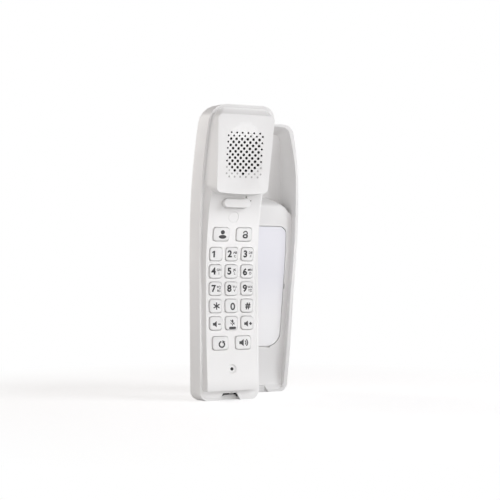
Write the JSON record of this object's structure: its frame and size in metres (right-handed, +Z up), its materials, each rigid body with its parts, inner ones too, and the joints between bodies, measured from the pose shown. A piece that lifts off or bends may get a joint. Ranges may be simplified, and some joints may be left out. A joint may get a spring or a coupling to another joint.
{
  "type": "audio intercom handset",
  "caption": "Slim upright intercom handset with keypad, hook button and perforated ear pod, with its hollow cradle base and removable label window.",
  "frame": {"origin": "on the floor below the middle of the whole part's box", "axes": "+Z up, -Y towards the user, +X to the user's right; the handset stands at -X in front, the base at +X behind"},
  "size_m": [0.0916, 0.0854, 0.1982],
  "materials": {
    "case": "fine satin",
    "keys": "satin with dark printed legends",
    "window": "smooth gloss",
    "card": "plain card",
    "jack": "moulded",
    "rubber": "moulded silicone",
    "dark_rubber": "moulded",
    "board": "lacquered circuit board",
    "black_plastic": "moulded",
    "metal_can": "drawn can",
    "speaker_frame": "pressed and painted",
    "cloth": "fine weave",
    "foam": "cut foam",
    "screw_steel": "zinc plated"
  },
  "bodies": {
    "base": {"base_tray": "case", "base_back_plate": "case", "base_cord_jack": "jack", "line_jack": "jack", "base_board": "board", "ringer": "black_plastic", "base_screws": "screw_steel", "rubber_pads": "rubber"},
    "window": {"label_window": "window", "label_card": "card"},
    "handset": {"handset_back_shell": "case", "handset_front_cover": "case", "round_plug": "case", "handset_cord_jack": "jack", "key_mat": "rubber", "key_board": "board", "hook_switch": "black_plastic", "microphone": "metal_can", "microphone_boot": "dark_rubber", "ear_speaker": "speaker_frame", "speaker_cloth": "cloth", "speaker_gasket": "foam", "handset_screws": "screw_steel"},
    "hook": {"hook_button": "case"},
    "key_0": {"key_0": "keys"},
    "key_1": {"key_1": "keys"},
    "key_2": {"key_2": "keys"},
    "key_3": {"key_3": "keys"},
    "key_4": {"key_4": "keys"},
    "key_5": {"key_5": "keys"},
    "key_6": {"key_6": "keys"},
    "key_7": {"key_7": "keys"},
    "key_8": {"key_8": "keys"},
    "key_9": {"key_9": "keys"},
    "key_star": {"key_star": "keys"},
    "key_hash": {"key_hash": "keys"},
    "key_volume_down": {"key_volume_down": "keys"},
    "key_mute": {"key_mute": "keys"},
    "key_volume_up": {"key_volume_up": "keys"},
    "key_guard": {"key_guard": "keys"},
    "key_unlock": {"key_unlock": "keys"},
    "key_redial": {"key_redial": "keys"},
    "key_loudspeaker": {"key_loudspeaker": "keys"}
  },
  "joints": [
    {"name": "handset_lift", "type": "slide", "parent": "base", "child": "handset", "axis": [0, 0, 1], "range_m": [0, 0.25]},
    {"name": "window_snap", "type": "slide", "parent": "base", "child": "window", "axis": [0, -1, 0], "range_m": [0, 0.012]},
    {"name": "hook_press", "type": "slide", "parent": "handset", "child": "hook", "axis": [0, 1, 0], "range_m": [0, 0.0025], "stiffness_N_per_m": 250, "springref_m": -0.0025},
    {"name": "key_0_press", "type": "slide", "parent": "handset", "child": "key_0", "axis": [0, 1, 0], "range_m": [0, 0.001], "stiffness_N_per_m": 600, "springref_m": -0.001},
    {"name": "key_1_press", "type": "slide", "parent": "handset", "child": "key_1", "axis": [0, 1, 0], "range_m": [0, 0.001], "stiffness_N_per_m": 600, "springref_m": -0.001},
    {"name": "key_2_press", "type": "slide", "parent": "handset", "child": "key_2", "axis": [0, 1, 0], "range_m": [0, 0.001], "stiffness_N_per_m": 600, "springref_m": -0.001},
    {"name": "key_3_press", "type": "slide", "parent": "handset", "child": "key_3", "axis": [0, 1, 0], "range_m": [0, 0.001], "stiffness_N_per_m": 600, "springref_m": -0.001},
    {"name": "key_4_press", "type": "slide", "parent": "handset", "child": "key_4", "axis": [0, 1, 0], "range_m": [0, 0.001], "stiffness_N_per_m": 600, "springref_m": -0.001},
    {"name": "key_5_press", "type": "slide", "parent": "handset", "child": "key_5", "axis": [0, 1, 0], "range_m": [0, 0.001], "stiffness_N_per_m": 600, "springref_m": -0.001},
    {"name": "key_6_press", "type": "slide", "parent": "handset", "child": "key_6", "axis": [0, 1, 0], "range_m": [0, 0.001], "stiffness_N_per_m": 600, "springref_m": -0.001},
    {"name": "key_7_press", "type": "slide", "parent": "handset", "child": "key_7", "axis": [0, 1, 0], "range_m": [0, 0.001], "stiffness_N_per_m": 600, "springref_m": -0.001},
    {"name": "key_8_press", "type": "slide", "parent": "handset", "child": "key_8", "axis": [0, 1, 0], "range_m": [0, 0.001], "stiffness_N_per_m": 600, "springref_m": -0.001},
    {"name": "key_9_press", "type": "slide", "parent": "handset", "child": "key_9", "axis": [0, 1, 0], "range_m": [0, 0.001], "stiffness_N_per_m": 600, "springref_m": -0.001},
    {"name": "key_star_press", "type": "slide", "parent": "handset", "child": "key_star", "axis": [0, 1, 0], "range_m": [0, 0.001], "stiffness_N_per_m": 600, "springref_m": -0.001},
    {"name": "key_hash_press", "type": "slide", "parent": "handset", "child": "key_hash", "axis": [0, 1, 0], "range_m": [0, 0.001], "stiffness_N_per_m": 600, "springref_m": -0.001},
    {"name": "key_volume_down_press", "type": "slide", "parent": "handset", "child": "key_volume_down", "axis": [0, 1, 0], "range_m": [0, 0.001], "stiffness_N_per_m": 600, "springref_m": -0.001},
    {"name": "key_mute_press", "type": "slide", "parent": "handset", "child": "key_mute", "axis": [0, 1, 0], "range_m": [0, 0.001], "stiffness_N_per_m": 600, "springref_m": -0.001},
    {"name": "key_volume_up_press", "type": "slide", "parent": "handset", "child": "key_volume_up", "axis": [0, 1, 0], "range_m": [0, 0.001], "stiffness_N_per_m": 600, "springref_m": -0.001},
    {"name": "key_guard_press", "type": "slide", "parent": "handset", "child": "key_guard", "axis": [0, 1, 0], "range_m": [0, 0.001], "stiffness_N_per_m": 600, "springref_m": -0.001},
    {"name": "key_unlock_press", "type": "slide", "parent": "handset", "child": "key_unlock", "axis": [0, 1, 0], "range_m": [0, 0.001], "stiffness_N_per_m": 600, "springref_m": -0.001},
    {"name": "key_redial_press", "type": "slide", "parent": "handset", "child": "key_redial", "axis": [0, 1, 0], "range_m": [0, 0.001], "stiffness_N_per_m": 600, "springref_m": -0.001},
    {"name": "key_loudspeaker_press", "type": "slide", "parent": "handset", "child": "key_loudspeaker", "axis": [0, 1, 0], "range_m": [0, 0.001], "stiffness_N_per_m": 600, "springref_m": -0.001}
  ]
}
